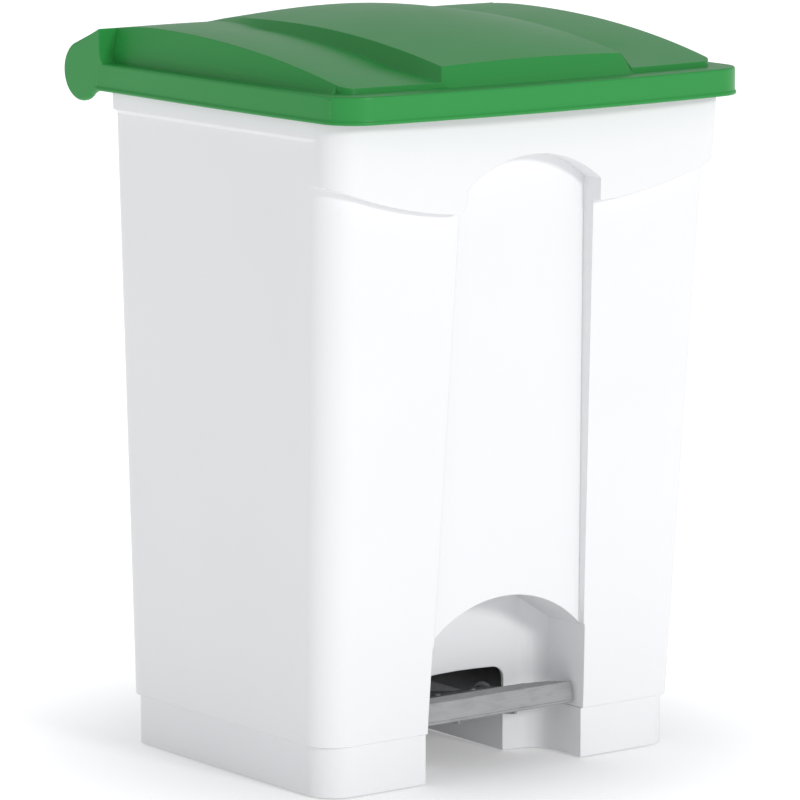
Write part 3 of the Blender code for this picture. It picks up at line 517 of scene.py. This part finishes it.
def finish(made, finish_used, slot, rides, *nodes):
    """Give a piece its material and its body, and hide the imported parts that it stands for. The
    slot argument is not used.
    """
    made.data.materials.append(finish_used)
    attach(made, rides)
    if nodes:
        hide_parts(*nodes)


shade(body)
finish(body, white_plastic, "body_plastic", "bin", "body_shell")

# ---------------------------------------------------------------- plinth
# A separate white moulding closes the bucket's underside: it carries the pedal's axle, the feet
# and four screw posts, and stands back from the bucket all round, which leaves a fine seam.


def refined(node, skin, slot, rides, angle=28):
    """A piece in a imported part's own shape, merged, evenly shaded and finished."""
    made = bpy.data.objects.new(node + "_finished", frame["nodes"][node].data.copy())
    bpy.context.scene.collection.objects.link(made)
    bm = bmesh.new()
    bm.from_mesh(made.data)
    bmesh.ops.remove_doubles(bm, verts=bm.verts, dist=0.00002)
    bm.to_mesh(made.data)
    bm.free()
    shade(made, angle)
    made.data.materials.clear()
    finish(made, skin, slot, rides, node)
    return made


plinth_plastic = moulded_plastic("plinth_polypropylene", (0.816, 0.818, 0.830), 0.34, 0.44, 0.05,
                                 0.0009)
refined("base_plinth", plinth_plastic, "plinth_plastic", "bin")

# ---------------------------------------------------------------- feet, buffers and stop pad
# Pressed-in rubber studs keep the bin off a wet floor, and two buffers and a pad quieten the lid
# and the pedal. The rubber is matt, with a faint bloom and dust caught in its skin.


def rubber(name, colour):
    made, shader, place = start_finish(name, 0.78, specular=0.35)
    dust = noise(place, 60.0, 4.0, 0.7)
    skin = noise(place, 1800.0, 2.0)
    feed(shader, Base_Color=tint(dust, colour, tuple(c * 2.4 + 0.012 for c in colour)),
         Roughness=dust * 0.18 + 0.66)
    edges = place.node("Bevel", {"samples": 4}, Radius=0.0005)
    feed(shader, Normal=place.node("Bump", Height=skin, Strength=0.35, Distance=0.0001,
                                   Normal=edges))
    return made


black_rubber = rubber("black_rubber", (0.012, 0.012, 0.013))
for place in ("front_left", "front_right", "rear_left", "rear_right"):
    refined("foot_" + place, black_rubber, "black_rubber", "bin")
for node in ("lid_buffer_left", "lid_buffer_right", "pedal_stop_pad"):
    refined(node, black_rubber, "black_rubber", "bin")

# ---------------------------------------------------------------- rear cover
# A flat strip of the bucket's own white plastic closes the groove that the push rod runs in. It
# lies on the bucket's back, and four screws hold it.

refined("rear_channel_cover", white_plastic, "body_plastic", "bin")

# ---------------------------------------------------------------- screws, rods, pins and clips
# Bright zinc-plated steel: turned screw heads with a cross recess, drawn rods, and pressed clips.
# The plating has a faint cloudy bloom and fine draw lines.


def plated(name, colour, roughness):
    made, shader, place = start_finish(name, roughness, metallic=1.0)
    bloom = noise(place, 120.0, 3.0, 0.6)
    lines = noise(place.node("Mapping", Vector=place, Scale=(900.0, 900.0, 60.0)), 1.0, 2.0)
    dark = tuple(c * 0.80 for c in colour)
    feed(shader, Base_Color=tint(bloom, colour, dark),
         Roughness=bloom * 0.20 + lines * 0.10 + (roughness - 0.15))
    edges = place.node("Bevel", {"samples": 4}, Radius=0.0004)
    feed(shader, Normal=place.node("Bump", Height=lines, Strength=0.12, Distance=0.00006,
                                   Normal=edges))
    return made


zinc = plated("zinc_plate", (0.60, 0.61, 0.63), 0.38)
shank_radius = 0.002


def cross_recess(screw, centre, along, reach):
    """The recess that a driver fits, cut into a screw's head."""
    centre, along = Vector(centre), Vector(along)
    across = along.orthogonal().normalized()
    for side in (across, along.cross(across)):
        other = along.cross(side)
        bm = bmesh.new()
        bmesh.ops.create_cube(bm, size=1.0)
        bmesh.ops.scale(bm, vec=(reach, 0.0008, 0.0018), verts=bm.verts)
        turn = Matrix((side, other, along)).transposed().to_4x4()
        bmesh.ops.transform(bm, matrix=Matrix.Translation(centre) @ turn, verts=bm.verts)
        boolean(screw, piece("driver_bit", bm))


for corner in ("front_left", "front_right", "rear_left", "rear_right"):
    node = "base_screw_" + corner
    low, high = map(Vector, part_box(node))
    x, y = (low.x + high.x) / 2, (low.y + high.y) / 2
    screw = rod(node + "_turned", (x, y, low.z), (x, y, low.z + 0.0032), 0.004, 32)
    boolean(screw, rod("shank", (x, y, low.z + 0.0015), (x, y, high.z), shank_radius, 24), "UNION")
    cross_recess(screw, (x, y, low.z), (0, 0, 1), 0.0048)
    shade(screw)
    finish(screw, zinc, "zinc_steel", "bin", node)
for corner in ("top_left", "top_right", "low_left", "low_right"):
    node = "cover_screw_" + corner
    low, high = map(Vector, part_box(node))
    x, z = (low.x + high.x) / 2, (low.z + high.z) / 2
    screw = rod(node + "_turned", (x, high.y - 0.0014, z), (x, high.y - 0.0007, z), 0.0036, 32,
                0.0034)
    dome = rod("dome", (x, high.y - 0.0008, z), (x, high.y, z), 0.0034, 32, 0.0024)
    boolean(screw, dome, "UNION")
    boolean(screw, rod("shank", (x, high.y - 0.0009, z), (x, low.y, z), shank_radius, 24), "UNION")
    cross_recess(screw, (x, high.y, z), (0, 1, 0), 0.0034)
    shade(screw)
    finish(screw, zinc, "zinc_steel", "bin", node)
for node in ("hinge_rod", "hinge_clip_left", "hinge_clip_right", "pedal_axle", "axle_clip_left",
             "axle_clip_right"):
    refined(node, zinc, "zinc_steel", "bin", 40)
for node in ("lug_pin", "lug_pin_clip"):
    refined(node, zinc, "zinc_steel", "lid", 40)
refined("push_rod", zinc, "zinc_steel", "rod", 40)

# ---------------------------------------------------------------- nylon bushes, rod foot and pad
# Turned and moulded grey nylon runs against steel without grease: two axle bushes, the push
# rod's foot, and the pad that it stands on.


def nylon(name, colour):
    made, shader, place = start_finish(name, 0.48, specular=0.45)
    cloud = noise(place, 45.0, 3.0)
    fine = noise(place, 1500.0, 1.0)
    feed(shader, Base_Color=tint(cloud, colour, tuple(c * 0.82 for c in colour)),
         Roughness=cloud * 0.15 + 0.40)
    edges = place.node("Bevel", {"samples": 4}, Radius=0.0005)
    feed(shader, Normal=place.node("Bump", Height=fine, Strength=0.2, Distance=0.0001,
                                   Normal=edges))
    return made


grey_nylon = nylon("grey_nylon", (0.26, 0.27, 0.285))
for node, rides in (("axle_bush_left", "bin"), ("axle_bush_right", "bin"),
                    ("push_rod_foot", "rod"), ("lever_pad", "pedal")):
    refined(node, grey_nylon, "grey_plastic", rides, 40)

# ---------------------------------------------------------------- pedal
# A folded channel of sheet steel carries the ribbed tread, which is riveted to it and turned
# down at the front. The steel is brushed across its width, and shoes have polished its ribs.


def brushed(name, colour, roughness, worn):
    made, shader, place = start_finish(name, roughness, metallic=0.6)
    lines = noise(place.node("Mapping", Vector=place, Scale=(16.0, 1500.0, 1500.0)), 1.0, 3.0, 0.6)
    cloud = noise(place, 28.0, 3.0)
    rubs = place.node("Mapping", Vector=place, Scale=(60.0, 220.0, 220.0))
    marks = place.node("ValToRGB", {"stops": ((0.50, (0, 0, 0, 1)), (0.62, (1, 1, 1, 1)))},
                       Fac=noise(rubs, 1.0, 4.0))
    scuff = place.node("RGBToBW", Color=marks) * worn
    dark = tuple(c * 0.74 for c in colour)
    feed(shader, Base_Color=tint(lines * 0.55 + cloud * 0.35 + scuff * 0.3, colour, dark),
         Roughness=lines * 0.16 + cloud * 0.10 - scuff * 0.10 + (roughness - 0.10))
    edges = place.node("Bevel", {"samples": 6}, Radius=0.0008)
    feed(shader, Normal=place.node("Bump", Height=lines, Strength=0.25, Distance=0.00008,
                                   Normal=edges))
    return made


steel = brushed("brushed_steel", (0.41, 0.41, 0.42), 0.48, 1.0)
tread = refined("pedal_tread", steel, "pedal_steel", "pedal", 35)
tread_low, tread_high = map(Vector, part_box("pedal_tread"))
lip = [v.co.y for v in tread.data.vertices if v.co.z < tread_low.z + 0.0004]
hem_radius = 0.0016
hem_y = sum(lip) / len(lip) + 0.0003
hem_z = tread_low.z + hem_radius
hem = rod("tread_hem", (tread_low.x + 0.0004, hem_y, hem_z), (tread_high.x - 0.0004, hem_y, hem_z),
          hem_radius, 20)
shade(hem)
finish(hem, steel, "pedal_steel", "pedal")
refined("pedal_lever", steel, "pedal_steel", "pedal")
for node in ("tread_rivet_left", "tread_rivet_right"):
    refined(node, zinc, "zinc_steel", "pedal", 40)

# ---------------------------------------------------------------- lid
# The lid is one moulding in green polypropylene: a rim band with a bead at its foot, a narrow
# ledge, a domed crown with a raised panel, and the hollow roll that turns on the hinge rod.

half_width = cad_high.x
lid_front = -cad_high.y
rim_bead = 0.0012
ledge = lid_line + 0.022
roll = 0.0242
rod_low, rod_high = map(Vector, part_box("push_rod"))
pin = Vector((0, (rod_low.y + rod_high.y) / 2, rod_high.z - 0.0055))
lid_foot = lid_front + 0.028
low_crest = hinge.y - 0.090
cheek = hinge.y - 0.0286
panel_half = 0.090
panel_front = lid_front + 0.036
panel_foot = lid_front + 0.021
crown_corner = 0.012
crown_side = half_width - 0.019
crown_rise = 0.0315
crown_step = 0.004
crown_sink = 0.0078
panel_rise = 0.0035
lug_in, lug_out = 0.0048, 0.0088
web_half = 0.0094


def bowed(point):
    """The gentle outward bow of the lid's front and sides."""
    x, y, z = point
    side = 0.0032 * ((min(y, 0.100) + 0.2 * half_width) / (0.8 * half_width)) ** 2
    share = x / half_width
    return (x - side * share, y + 0.0117 * share ** 2 * max(0.0, y / lid_front) ** 2, z)


def crown_foot(x):
    """Where the crown's front meets the ledge, which turns back round the lid's corner."""
    past = abs(x) - (crown_side - crown_corner)
    if past <= 0:
        return lid_foot
    return lid_foot + crown_corner - math.sqrt(max(0.0, crown_corner ** 2 - past ** 2))


def low_dip(y, x):
    """How far the crown sinks towards the raised panel."""
    across = (crown_side - x) / (crown_side - panel_half)
    along = min(1.0, max(0.0, (y - lid_foot) / 0.060))
    along *= min(1.0, max(0.0, (cheek - y) / 0.080))
    return crown_sink * min(1.0, max(0.0, across)) ** 2 * along


def low_crown(y, x):
    """Height of the crown beside the raised panel."""
    dome = 0.004 * (1 - (x / crown_side) ** 2)
    if y < low_crest:
        share = (low_crest - y) / (low_crest - lid_foot)
        rise = (crown_rise - crown_step + dome) * (1 - share * share)
        return ledge + crown_step + rise - low_dip(y, x)
    share = (y - low_crest) / (cheek - low_crest)
    return ledge + crown_rise - 0.0036 * share ** 2 + dome * (1 - share ** 2) - low_dip(y, x)


def panel_height(y, x):
    """Height of the raised panel, which is domed from side to side."""
    crest = low_crest - 0.045
    top = ledge + crown_rise + panel_rise
    dome = 0.008 * (1 - (x / panel_half) ** 2)
    if y < crest:
        share = (crest - y) / (crest - panel_front)
        edge = top - (crown_rise + panel_rise - 0.0155) * share ** 2
        return edge + dome * (0.25 + 0.75 * (1 - share ** 2))
    share = min(1.0, (y - crest) / (cheek - crest))
    ease = share ** 3
    return top * (1 - ease) + low_crown(y, x) * ease + dome * (1 - ease)


def lid_section(kind, x, inset, shrink):
    """A closed outline of the lid from back to front, at one place across its width."""
    outline = arc(hinge.y, hinge.z, roll - inset - shrink, 74, -134, 44)
    foot = crown_foot(min(x + inset, crown_side))
    ahead = panel_front if kind == "panel" else foot
    back = cheek + inset
    run = [ahead + inset + (cheek - ahead) * i / 40 for i in range(41)]
    bottom = lid_line + 0.005 + inset
    shelf = ledge - 0.003 - inset
    if kind == "ledge":
        fillet = 0.013
        front = panel_foot + inset
        outline += [(cheek - 0.004, bottom), (front, bottom), (front, shelf)]
        flat = [(ahead + (back - fillet - ahead) * i / 29, shelf) for i in range(30)]
        rise = arc(back - fillet, shelf + fillet, fillet, -82, 0, 10)
        return outline + flat + rise + [(back, low_crown(cheek, crown_side) - inset)]
    front = panel_foot + inset if kind == "panel" else foot - 0.0005 + inset
    outline += [(cheek - 0.004, bottom), (front, bottom), (front, shelf)]
    for y in run:
        if kind == "panel":
            outline.append((y, panel_height(y, min(x, panel_half)) - inset))
        else:
            outline.append((y, low_crown(max(y, lid_foot), x) - inset))
    return outline + [(back - 0.0002, outline[-1][1])]


def lid_form(name, inset):
    """The lid above its rim, from side to side."""
    end = half_width - rim_bead - inset - gap
    side = crown_side - inset * 0.5
    fillet = 0.0028 if inset == 0 else 0.0
    stations = []
    for turn in ((90, 60, 30, 0) if fillet else (0,)):
        turn = math.radians(turn)
        in_from_end = fillet * (1 - math.sin(turn))
        stations.append(("ledge", end - in_from_end, fillet * (1 - math.cos(turn))))
    stations.append(("ledge", crown_side + 0.005 - inset, 0.0))
    stations += [("low", side - share * crown_corner, 0.0)
                 for share in (0.0, 0.02, 0.06, 0.13, 0.22, 0.34, 0.5, 0.7, 1.0)]
    flat = side - crown_corner - panel_half
    stations += [("low", panel_half + flat * share, 0.0) for share in (0.8, 0.6, 0.4, 0.2)]
    stations += [("low", panel_half + 0.006 - inset * 0.4, 0.0)]
    stations += [("panel", panel_half - inset * 0.4, 0.0)]
    stations += [("panel", panel_half * share, 0.0)
                 for share in (0.85, 0.68, 0.51, 0.34, 0.17, 0.0)]
    both = stations + [(kind, -x, shrink) for kind, x, shrink in reversed(stations[:-1])]
    return loft(name, [[bowed((x, y, z)) for y, z in lid_section(kind, abs(x), inset, shrink)]
                       for kind, x, shrink in both])


def rim(name, inset, steps, back):
    """The rim band: rounded outlines at several heights, then bowed."""
    sections = []
    for z, out in steps:
        half = half_width - rim_bead - inset + out
        front = lid_front + rim_bead + inset - out
        radius = 0.029 - rim_bead - inset + out
        shares = (0.0, 0.1, 0.2, 0.3, 0.4, 0.5, 0.6, 0.7, 0.78)
        right = [(half * share, front) for share in shares]
        right += arc(half - radius, front + radius, radius, -90, 0, 16)
        right += [(half, front + radius + (back - front - radius) * i / 10) for i in range(1, 11)]
        both = right + [(-x, y) for x, y in reversed(right[1:])]
        sections.append([bowed((x, y, z)) for x, y in both])
    return loft(name, sections)


rim_back = hinge.y - 0.0246
rim_profile = [(lid_line, rim_bead - 0.0006), (lid_line + 0.0006, rim_bead),
               (lid_line + 0.0020, rim_bead), (lid_line + 0.0030, 0.0004), (lid_line + 0.0040, 0),
               (ledge - 0.0022, 0), (ledge - 0.0009, -0.0004), (ledge - 0.0002, -0.0012),
               (ledge, -0.0022)]
lid = rim("lid_moulding", 0, rim_profile, rim_back)
boolean(lid, lid_form("lid_top", 0), "UNION")
for side in (-1, 1):
    inner, outer = sorted((side * lug_in, side * lug_out))
    lug = arc(pin.y, pin.z, 0.006, 125, 325, 24)
    lug += [(hinge.y - 0.004, hinge.z - roll + 0.0035), (hinge.y - roll + 0.0012, hinge.z - 0.002)]
    boolean(lid, prism_x("crank_lug", lug, inner, outer), "UNION")
boolean(lid, rim("rim_inside", wall, [(lid_line - 0.02, 0), (ledge - wall, 0)], rim_back + 0.001))
boolean(lid, lid_form("lid_inside", wall))
swing = arc(hinge.y, hinge.z, roll + gap, 150, 262, 24)
swing += arc(hinge.y, hinge.z, roll + 0.0078, 262, 150, 24)
boolean(lid, prism_x("wall_swing", swing, web_half, half_width - 0.010))
boolean(lid, prism_x("wall_swing", swing, 0.010 - half_width, -web_half))
sweep = arc(hinge.y, hinge.z, roll + 0.010, 177, 311, 24) + [(hinge.y, hinge.z)]
for x in (-arm_at, arm_at):
    boolean(lid, prism_x("arm_slot", sweep, x - 0.0082, x + 0.0082))
roll_end = bowed((half_width - rim_bead - gap, hinge.y, hinge.z))[0]
for side in (-1, 1):
    inner, outer = sorted((side * web_half, side * (roll_end - 0.0045)))
    boolean(lid, block("roll_underside", (inner, hinge.y - 0.030, lid_line - 0.020),
                       (outer, hinge.y + 0.030, lid_line - 0.0015)))
    boolean(lid, rod("hinge_boss", (side * (roll_end - wall / 2), hinge.y, hinge.z),
                     (side * (roll_end - 0.016), hinge.y, hinge.z), 0.009), "UNION")
boolean(lid, rod("hinge_socket", (wall + 0.002 - roll_end, hinge.y, hinge.z),
                 (roll_end - wall - 0.002, hinge.y, hinge.z), rod_bore))
boolean(lid, rod("lug_bore", (-0.02, pin.y, pin.z), (0.02, pin.y, pin.z), 0.0028))
shade(lid, 24)
green_plastic = moulded_plastic("green_polypropylene", (0.025, 0.278, 0.055), 0.25, 0.36, 0.02,
                                0.0009, 0.28)
finish(lid, green_plastic, "lid_plastic", "lid", "lid_shell")

low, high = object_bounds()
